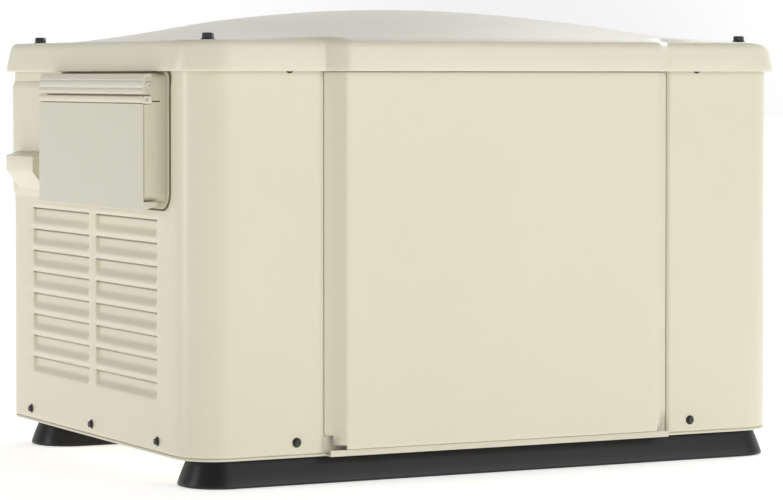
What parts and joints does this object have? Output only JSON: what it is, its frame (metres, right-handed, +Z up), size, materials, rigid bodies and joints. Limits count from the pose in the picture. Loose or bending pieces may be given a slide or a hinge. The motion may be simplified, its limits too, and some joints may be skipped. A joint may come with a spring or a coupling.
{
  "type": "home standby generator",
  "caption": "Home standby generator: steel weatherproof enclosure on two skids, lift-off lid, louvred control side with hinged flap, air-cooled engine and alternator inside.",
  "frame": {"origin": "centre of the anchor-hole rectangle at the ground plane under the skids", "axes": "+Z up, -Y is the front with the access panel, -X is the control side, +X is the exhaust side; the crankshaft runs along X"},
  "size_m": [0.9155, 0.709, 0.606],
  "materials": {
    "bezel_plastic": "satin moulded",
    "black_plastic": "matte",
    "black_steel": "black oxide",
    "brass": "machined",
    "cast_al": "as cast",
    "copper": "varnished winding",
    "cream_paint": "satin powder coat",
    "display": "clear",
    "flap_plastic": "satin translucent",
    "galv": "galvanised",
    "green_key": "gloss",
    "hot_steel": "aluminised",
    "iron": "as cast",
    "oil_yellow": "gloss",
    "pan_paint": "satin powder coat",
    "paper": "pleated",
    "red_key": "gloss",
    "rubber": "matte",
    "skid_plastic": "satin moulded",
    "steel": "machined",
    "yellow_key": "gloss"
  },
  "bodies": {
    "chassis": {"lid_seal": "rubber", "left_side_panel": "cream_paint", "right_side_panel": "cream_paint", "rear_panel": "cream_paint", "base_pan": "pan_paint", "front_skid": "skid_plastic", "rear_skid": "skid_plastic", "panel_screws_lower": "black_steel", "panel_screws_upper": "black_steel", "control_housing": "bezel_plastic", "housing_gasket": "rubber", "flap_hinge_pin": "steel", "conduit_hood": "bezel_plastic", "controller_module": "black_plastic", "display_window": "display", "breaker_body": "black_plastic", "fuse_holder": "black_plastic", "status_lenses": "red_key", "top_frame": "galv", "door_posts": "galv", "divider_baffle": "galv", "engine_cradle": "black_steel", "rubber_mounts": "rubber", "crankcase": "cast_al", "cylinder_barrel": "cast_al", "cylinder_head": "cast_al", "valve_cover": "black_plastic", "main_bearings": "steel", "blower_housing": "black_steel", "stator": "iron", "end_bell": "cast_al", "starter_motor": "black_steel", "oil_filter": "oil_yellow", "oil_fill_tube": "black_plastic", "air_cleaner_base": "black_plastic", "air_filter": "paper", "air_cleaner_cover": "black_plastic", "gas_mixer": "cast_al", "fuel_regulator": "cast_al", "fuel_inlet": "brass", "fuel_hose": "rubber", "muffler": "hot_steel", "exhaust_pipe": "hot_steel", "exhaust_grille": "black_steel", "battery": "black_plastic", "battery_tray": "black_steel", "ignition_set": "black_plastic"},
    "lid": {"lid": "cream_paint", "lid_bolts": "black_steel"},
    "front_panel": {"front_panel": "cream_paint"},
    "control_flap": {"control_flap": "flap_plastic"},
    "key_off": {"key_off": "red_key"},
    "key_manual": {"key_manual": "yellow_key"},
    "key_auto": {"key_auto": "green_key"},
    "breaker_toggle": {"breaker_toggle": "black_plastic"},
    "fuse_cap": {"fuse_cap": "black_plastic"},
    "dipstick": {"dipstick": "oil_yellow"},
    "shaft": {"crankshaft": "steel", "flywheel_fan": "iron", "rotor": "copper"}
  },
  "joints": [
    {"name": "lid_lift", "type": "slide", "parent": "chassis", "child": "lid", "axis": [0, 0, 1], "range_m": [0, 0.3]},
    {"name": "front_panel_pull", "type": "slide", "parent": "chassis", "child": "front_panel", "axis": [0, -1, 0], "range_m": [0, 0.3]},
    {"name": "control_flap_hinge", "type": "hinge", "parent": "chassis", "child": "control_flap", "pos_m": [-0.4635, 0, 0.4845], "axis": [0, 1, 0], "range_deg": [0, 108]},
    {"name": "key_off_press", "type": "slide", "parent": "chassis", "child": "key_off", "axis": [1, 0, 0], "range_m": [0, 0.003], "stiffness_N_per_m": 150, "springref_m": -0.002},
    {"name": "key_manual_press", "type": "slide", "parent": "chassis", "child": "key_manual", "axis": [1, 0, 0], "range_m": [0, 0.003], "stiffness_N_per_m": 150, "springref_m": -0.002},
    {"name": "key_auto_press", "type": "slide", "parent": "chassis", "child": "key_auto", "axis": [1, 0, 0], "range_m": [0, 0.003], "stiffness_N_per_m": 150, "springref_m": -0.002},
    {"name": "breaker_toggle_hinge", "type": "hinge", "parent": "chassis", "child": "breaker_toggle", "pos_m": [-0.421, 0, 0.417], "axis": [0, 1, 0], "range_deg": [-22, 22]},
    {"name": "fuse_cap_pull", "type": "slide", "parent": "chassis", "child": "fuse_cap", "axis": [-1, 0, 0], "range_m": [0, 0.02]},
    {"name": "dipstick_pull", "type": "slide", "parent": "chassis", "child": "dipstick", "axis": [0, 0, 1], "range_m": [0, 0.19]},
    {"name": "shaft_spin", "type": "hinge", "parent": "chassis", "child": "shaft", "pos_m": [0, 0.02, 0.2], "axis": [1, 0, 0], "continuous": true}
  ]
}
